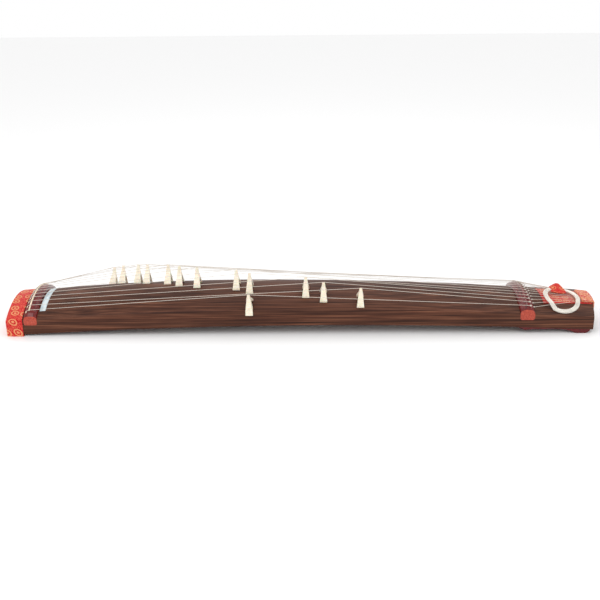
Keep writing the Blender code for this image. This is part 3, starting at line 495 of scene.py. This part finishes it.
# string n from its movable bridge, through the board and round the tail end to its knot
def rearWay(n):
    way = stringWay
    bx, by, bz = notchOf(n)
    x = tailRidge["x"] + tailRidge["hole"]
    y = rowY(n, x)
    route = [(bx, by, bz), (bx + bridges["notchHalf"], by, bz), *overStrip(n, tailRidge),
             (x, y, ridgeTop(tailRidge, x, y) + way["tailHoleLift"]),
             (x, y, board(x, y) - way["tailHoleDeep"])]
    y = (n - strings["middle"]) * strings["endPitch"]
    hole, end, out = way["soundHoleX"], tailEnd(y), way["cornerOut"]
    run = hole + way["underRun"]
    route += [(hole - way["holeLead"], y, under(hole) + way["holeRise"]),
              (hole, y, under(hole) - bearing - way["holeGap"]), (run, y, under(run) - bearing),
              (end - way["cornerIn"], y, under(end) - bearing), (end + out, y, under(end) - out),
              (end + out, y, board(end, y) + way["clothTop"] + out)]
    for x in (end - way["topIn"], way["coverX"]):
        route.append((x, y, board(x, y) + way["clothTop"] + bearing))
    start, kx = Vector(route[-1]), tailRidge["x"] + way["knotX"]
    ky = rowY(n, kx)
    knot = Vector((kx, ky, ridgeTop(tailRidge, kx, ky) + strings["knot"] + way["knotLift"]))
    for t in way["toKnot"]:
        x, y, z = start.lerp(knot, t)
        route.append((x, y, max(z, board(x, y) + way["clothTop"] + bearing)))
    for dx, dz in way["inKnot"]:
        route.append((knot.x + dx, knot.y, knot.z + dz))
    return route


# each sharp corner as a short curve
def soften(points, reach, steps=3, straight=10.0, share=0.4):
    pts = [Vector(q) for q in points]
    out = [pts[0]]
    for a, corner, b in zip(pts[:-2], pts[1:-1], pts[2:]):
        u, v = a - corner, b - corner
        if math.degrees(math.pi - u.angle(v)) < straight:
            out.append(corner)
            continue
        d = min(reach, share * u.length, share * v.length)
        p, q = corner + u.normalized() * d, corner + v.normalized() * d
        for k in range(steps + 1):
            t = k / steps
            out.append(p * (1 - t) ** 2 + corner * 2 * t * (1 - t) + q * t * t)
    return out + [pts[-1]]


# extra points so that no step is much longer than gap
def spread(points, gap):
    out = [points[0]]
    for a, b in zip(points[:-1], points[1:]):
        count = max(1, int((b - a).length / gap))
        out += [a.lerp(b, (k + 1) / count) for k in range(count)]
    return out


def stringPiece(name, n, way, ridge):
    bm = bmesh.new()
    cordInto(bm, spread(soften(way, strings["bend"]), strings["step"]), strings["radius"], strings["sides"])
    made = pieceFrom(name % n, bm, stringSilk)
    x = ridge["x"] + ridge["seat"]
    y = rowY(n, x)
    rest = toFrame((x, y, board(ridge["x"], y) + strings["blendRest"]))
    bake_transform(made)
    return made


# knots, made lumpy by the turns of the cord round them
knotForm = {"lump": 0.12, "turns": 9.0, "windPerMetre": 900.0, "headLift": 2.0, "tailBack": 0.3}


def knotPiece(name, centre):
    bm = bmesh.new()
    bmesh.ops.create_icosphere(bm, subdivisions=3, radius=strings["knot"] * millimetre,
                              matrix=Matrix.Translation(centre))
    for point in bm.verts:
        d = point.co - centre
        wind = knotForm["turns"] * math.atan2(d.y, d.z) + knotForm["windPerMetre"] * d.x
        point.co += d * knotForm["lump"] * math.sin(wind)
    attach(pieceFrom(name, bm, stringSilk), "koto_body")


# the front length and the rear length of each string, with a knot at the head and one at the tail
for n in range(1, strings["count"] + 1):
    front, rear = frontWay(n), rearWay(n)
    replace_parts(stringPiece("stringFront_%02d", n, front, headRidge), "string_%02d" % n)
    stringPiece("stringRear_%02d", n, rear, tailRidge)
    knotPiece("knotHead_%02d" % n, toFrame(Vector(front[0]) + Vector((0, 0, knotForm["headLift"]))))
    knotPiece("knotTail_%02d" % n, toFrame(Vector(rear[-3]) + Vector((knotForm["tailBack"], 0, 0))))
print("strings made")

# spare string: one cord wound to an oval hank over the tail
hank = {"x": 825.0, "y": -41.0, "halfX": 50.5, "halfY": 62.7, "turn": -0.27, "across": 7, "layers": 3,
        "pitch": 1.93, "points": 44, "startAngle": 2.2, "stepUp": 0.3}

# how high the hank rides: over the strings, and down to the board beyond the outermost one
hankRide = {"headX": 722.0, "tailX": 886.0, "headLift": 16.0, "tailLift": 3.0, "headOuter": 102.0,
            "tailOuter": 37.2, "margin": 2.0, "fade": 22.0, "clear": 4.1, "boardClear": 1.1}


def overStrings(x, y):
    ride = hankRide
    t = min(max((x - ride["headX"]) / (ride["tailX"] - ride["headX"]), 0.0), 1.0)
    lift = ride["headLift"] + (ride["tailLift"] - ride["headLift"]) * t
    outer = ride["headOuter"] + (ride["tailOuter"] - ride["headOuter"]) * t
    a = min(max((abs(y) - outer - ride["margin"]) / ride["fade"], 0.0), 1.0)
    a = a * a * (3 - 2 * a)
    return (lift + ride["clear"]) * (1 - a) + ride["boardClear"] * a


def hankPath():
    pts = []
    cosTurn, sinTurn = math.cos(hank["turn"]), math.sin(hank["turn"])
    for k in range(hank["across"] * hank["layers"] * hank["points"] + 1):
        t = k / hank["points"]
        layer = min(int(t // hank["across"]), hank["layers"] - 1)
        part = t - layer * hank["across"]
        radial = part if layer % 2 == 0 else hank["across"] - part
        level = float(layer)
        for change in range(1, hank["layers"]):
            d = (t - change * hank["across"]) / hank["stepUp"]
            if -1.0 < d < 1.0:
                level = change - 0.5 + 0.5 * math.sin(d * math.pi / 2)
        r = (radial - hank["across"] / 2) * hank["pitch"]
        a = 2 * math.pi * t + hank["startAngle"]
        u, v = (hank["halfX"] + r) * math.cos(a), (hank["halfY"] + r) * math.sin(a)
        x, y = hank["x"] + u * cosTurn - v * sinTurn, hank["y"] + u * sinTurn + v * cosTurn
        pts.append(Vector((x, y, board(x, y) + overStrings(x, y) + level * hank["pitch"])))
    return pts


hankLine = [toFrame(q) for q in hankPath()]
curve = bpy.data.curves.new("spareString", "CURVE")
curve.dimensions = "3D"
curve.bevel_depth = strings["radius"] * millimetre
curve.bevel_resolution = 2
curve.use_fill_caps = True
spline = curve.splines.new("POLY")
spline.points.add(len(hankLine) - 1)
for point, q in zip(spline.points, hankLine):
    point.co = (*q, 1.0)
curve.materials.append(hankSilk)
spare = bpy.data.objects.new("spareString", curve)
scene.collection.objects.link(spare)
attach(spare, "koto_body")
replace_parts(spare, "surplus_coil")

# folded brocade that ties the hank, drawn up to a soft peak
# levels: share of the height, half length, near edge and far edge
tie = {"x": 824.0, "y": 19.0, "drop": -2.2, "tall": 22.5, "folds": 5, "foldDeep": 0.055, "foldTwist": 2.2,
       "foldFade": 0.4, "square": 0.6, "rings": 16, "sides": 72,
       "levels": [(0.0, 29.0, -27.0, 21.0), (0.35, 24.0, -20.0, 18.0), (0.75, 13.0, -9.0, 12.0),
                  (1.0, 5.0, -2.5, 6.0)]}


# point of the tie at share f of its height, for a point of the plain circle
def tiePoint(f, plain):
    k = max(j for j in range(len(tie["levels"]) - 1) if tie["levels"][j][0] <= f)
    low, high = tie["levels"][k], tie["levels"][k + 1]
    t = (f - low[0]) / (high[0] - low[0])
    half, near, far = (a + (b - a) * t for a, b in zip(low[1:], high[1:]))
    wave = 0.5 + 0.5 * math.sin(tie["folds"] * math.atan2(plain.y, plain.x) + tie["foldTwist"] * f)
    fold = 1.0 - tie["foldDeep"] * wave * (1.0 - tie["foldFade"] * f)
    cx, cy = (math.copysign(abs(c) ** tie["square"], c) for c in plain.xy)
    x = tie["x"] + half * fold * cx
    y = tie["y"] + 0.5 * (near + far) + 0.5 * (far - near) * fold * cy
    return toFrame((x, y, board(x, y) + overStrings(x, y) + tie["drop"] + tie["tall"] * f))


bm = bmesh.new()
loops = []
for i in range(tie["rings"] + 1):
    points, edges = circleInto(bm, tie["sides"], 1.0, Matrix.Identity(4), cap=i in (0, tie["rings"]))
    for point in points:
        point.co = tiePoint(i / tie["rings"], point.co)
    loops.append(edges)
skinOver(bm, loops)
hankTie = pieceFrom("hankTie", bm, tieCloth)
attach(hankTie, "koto_body")
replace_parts(hankTie, "coil_tie")
print("hank made")

# pale floor, white surround and three soft lights
studio = {"floorHalf": 8.0, "floorColour": (0.93, 0.93, 0.93, 1), "floorRough": 0.9, "surround": 1.0,
          "aim": (0, 0, 0.05),
          "lights": [("key", (-1.6, -2.2, 2.6), 26, 1.8), ("fill", (2.2, -1.8, 1.8), 8, 2.0),
                     ("top", (0.2, 1.2, 2.8), 12, 2.4)]}
floorLook = Finish("paleFloor", studio["floorRough"])
floorLook.set("Base Color", studio["floorColour"])
bm = bmesh.new()
bmesh.ops.create_grid(bm, x_segments=1, y_segments=1, size=studio["floorHalf"])
floorMesh = bpy.data.meshes.new("floor")
bm.to_mesh(floorMesh)
bm.free()
floorMesh.materials.append(floorLook.mat)
floor = bpy.data.objects.new("floor", floorMesh)
scene.collection.objects.link(floor)
floor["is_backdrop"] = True

scene.world = bpy.data.worlds.new("studio")
scene.world.use_nodes = True
surround = scene.world.node_tree.nodes["Background"]
surround.inputs["Color"].default_value = (1, 1, 1, 1)
surround.inputs["Strength"].default_value = studio["surround"]
for name, place, power, size in studio["lights"]:
    lamp = bpy.data.lights.new(name, "AREA")
    lamp.energy = power
    lamp.size = size
    stand = bpy.data.objects.new(name, lamp)
    stand.location = place
    stand.rotation_euler = (Vector(studio["aim"]) - Vector(place)).to_track_quat("-Z", "Y").to_euler()
    scene.collection.objects.link(stand)
print("studio set")

# camera solved from the picture's landmarks: angles in degrees, focal length in pixels of the picture;
# the fit held the body's sole level, so its axes are tilted back by the rise of the sole
view = {"place": (0.0445, -2.7397, 1.1899), "yaw": -1.0, "pitch": -22.3, "roll": -0.9, "tilt": 0.00522,
        "focal": 924.2, "pixels": 600, "sensor": 36.0, "farthest": 40.0}
yaw, pitch, roll = (math.radians(view[k]) for k in ("yaw", "pitch", "roll"))
forward = Vector((math.sin(yaw) * math.cos(pitch), math.cos(yaw) * math.cos(pitch), math.sin(pitch)))
level = Vector((math.cos(yaw), -math.sin(yaw), 0))
upright = level.cross(forward)
right = level * math.cos(roll) + upright * math.sin(roll)
up = upright * math.cos(roll) - level * math.sin(roll)


def tilted(v):
    return Vector((v.x - view["tilt"] * v.z, v.y, v.z + view["tilt"] * v.x)).normalized()


turn = Matrix((tilted(right), tilted(up), -tilted(forward))).transposed()
camera = bpy.data.objects.new("camera", bpy.data.cameras.new("camera"))
camera.matrix_world = Matrix.Translation(Vector(view["place"]) + shift) @ turn.to_4x4()
camera.data.sensor_width = view["sensor"]
camera.data.lens = view["focal"] / view["pixels"] * view["sensor"]
camera.data.clip_end = view["farthest"]
scene.collection.objects.link(camera)
scene.camera = camera
scene.view_settings.view_transform = "Standard"
print("camera set")


def plainList(value):
    if isinstance(value, (int, float)):
        return float(value)
    return [plainList(v) for v in value]


{"cad": plainList(cadBox), "visual": plainList(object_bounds())}
